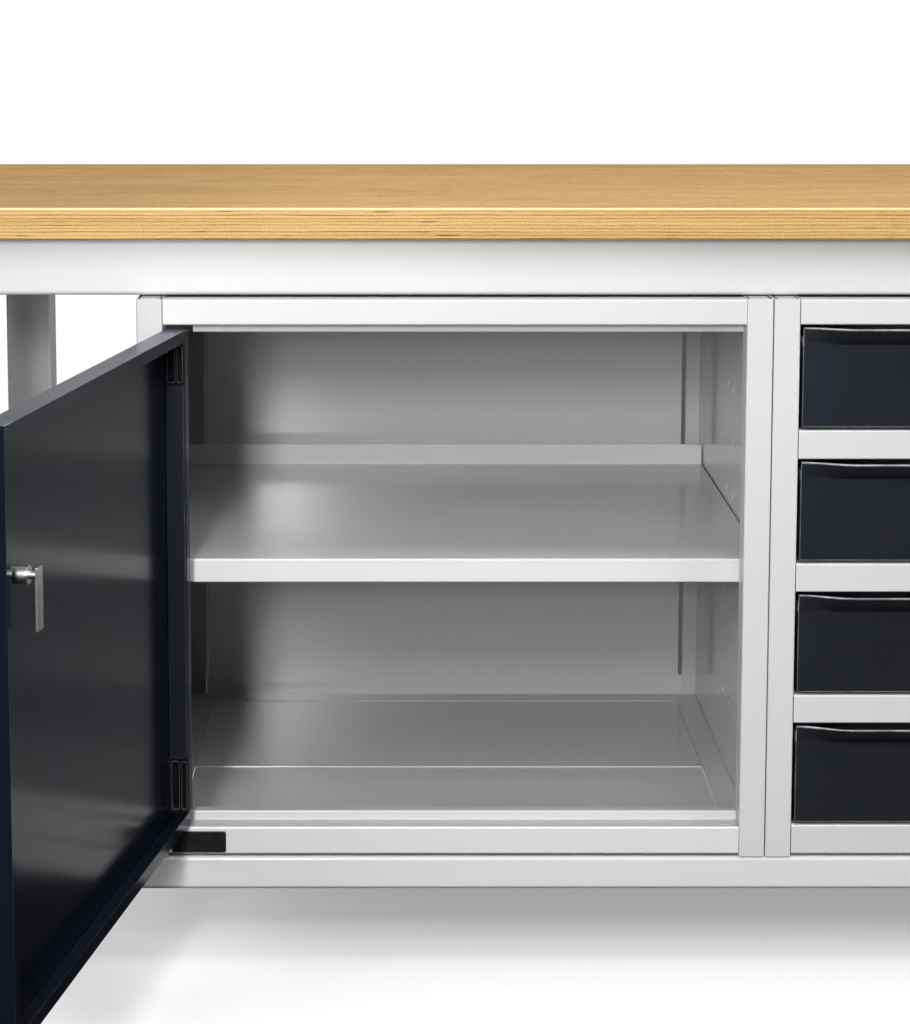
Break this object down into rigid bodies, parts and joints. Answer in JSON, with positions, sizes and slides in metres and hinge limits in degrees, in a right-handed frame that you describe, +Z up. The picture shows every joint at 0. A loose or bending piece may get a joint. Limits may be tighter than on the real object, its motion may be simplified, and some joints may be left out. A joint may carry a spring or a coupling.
{
  "type": "workbench with cabinet",
  "caption": "Steel workbench with a thick plywood top over a cabinet with a hinged door and inner shelf, beside a stack of drawers with flared grips.",
  "frame": {"origin": "middle of the worktop's upper face", "axes": "+X along the bench to the right as seen from the front, -Y to the front, +Z up"},
  "size_m": [2, 1.3742, 0.88],
  "materials": {
    "light_paint": "light grey powder coat, satin",
    "dark_paint": "blue-black powder coat, semi-gloss",
    "plywood": "lacquered beech plywood, layers open on the edges",
    "black_plastic": "black, satin",
    "black_steel": "black, satin",
    "zinc": "bright zinc plate"
  },
  "bodies": {
    "bench": {"cabinet_back": "light_paint", "cabinet_base_frame": "light_paint", "cabinet_floor_front": "light_paint", "cabinet_floor_rear": "light_paint", "cabinet_rail_bottom": "light_paint", "cabinet_rail_top": "light_paint", "cabinet_side_left": "light_paint", "cabinet_side_right": "light_paint", "cabinet_top": "light_paint", "drawer_rail_1": "light_paint", "drawer_rail_2": "light_paint", "drawer_rail_3": "light_paint", "drawer_rail_bottom": "light_paint", "drawer_rail_top": "light_paint", "drawer_unit_back": "light_paint", "drawer_unit_bottom": "light_paint", "drawer_unit_side_left": "light_paint", "drawer_unit_side_right": "light_paint", "drawer_unit_top": "light_paint", "foot_front_left": "black_plastic", "foot_front_right": "black_plastic", "foot_rear_left": "black_plastic", "foot_rear_right": "black_plastic", "hinge_leaf_bottom": "black_steel", "hinge_leaf_top": "black_steel", "leg_front_left": "light_paint", "leg_front_right": "light_paint", "leg_rear_left": "light_paint", "leg_rear_right": "light_paint", "lower_beam_front": "light_paint", "lower_beam_rear": "light_paint", "lower_tie_left": "light_paint", "lower_tie_right": "light_paint", "name_plate_blank": "black_plastic", "shelf": "light_paint", "shelf_clip_1": "zinc", "shelf_clip_2": "zinc", "shelf_clip_3": "zinc", "shelf_clip_4": "zinc", "top_beam_front": "light_paint", "top_beam_rear": "light_paint", "top_cross_left": "light_paint", "top_cross_right": "light_paint", "worktop": "plywood"},
    "door": {"door_panel": "dark_paint", "door_stiffener": "dark_paint", "hinge_plate_top": "black_steel", "hinge_plate_bottom": "black_steel", "door_handle": "black_plastic"},
    "lock": {"lock_plug": "zinc", "lock_cam": "zinc"},
    "drawer_1": {"drawer_front_1": "dark_paint", "drawer_tray_1": "light_paint"},
    "drawer_2": {"drawer_front_2": "dark_paint", "drawer_tray_2": "light_paint"},
    "drawer_3": {"drawer_front_3": "dark_paint", "drawer_tray_3": "light_paint"},
    "drawer_4": {"drawer_front_4": "dark_paint", "drawer_tray_4": "light_paint"}
  },
  "joints": [
    {"name": "door_hinge", "type": "hinge", "parent": "bench", "child": "door", "pos_m": [-0.679, -0.3575, -0.425], "axis": [0, 0, 1], "range_deg": [0, 99.1]},
    {"name": "lock_turn", "type": "hinge", "parent": "door", "child": "lock", "pos_m": [-0.77453, -0.9539, -0.28], "axis": [-0.9874, 0.1582, 0], "range_deg": [0, 90]},
    {"name": "drawer_1_slide", "type": "slide", "parent": "bench", "child": "drawer_1", "axis": [0, -1, 0], "range_m": [0, 0.52]},
    {"name": "drawer_2_slide", "type": "slide", "parent": "bench", "child": "drawer_2", "axis": [0, -1, 0], "range_m": [0, 0.52]},
    {"name": "drawer_3_slide", "type": "slide", "parent": "bench", "child": "drawer_3", "axis": [0, -1, 0], "range_m": [0, 0.52]},
    {"name": "drawer_4_slide", "type": "slide", "parent": "bench", "child": "drawer_4", "axis": [0, -1, 0], "range_m": [0, 0.52]}
  ]
}
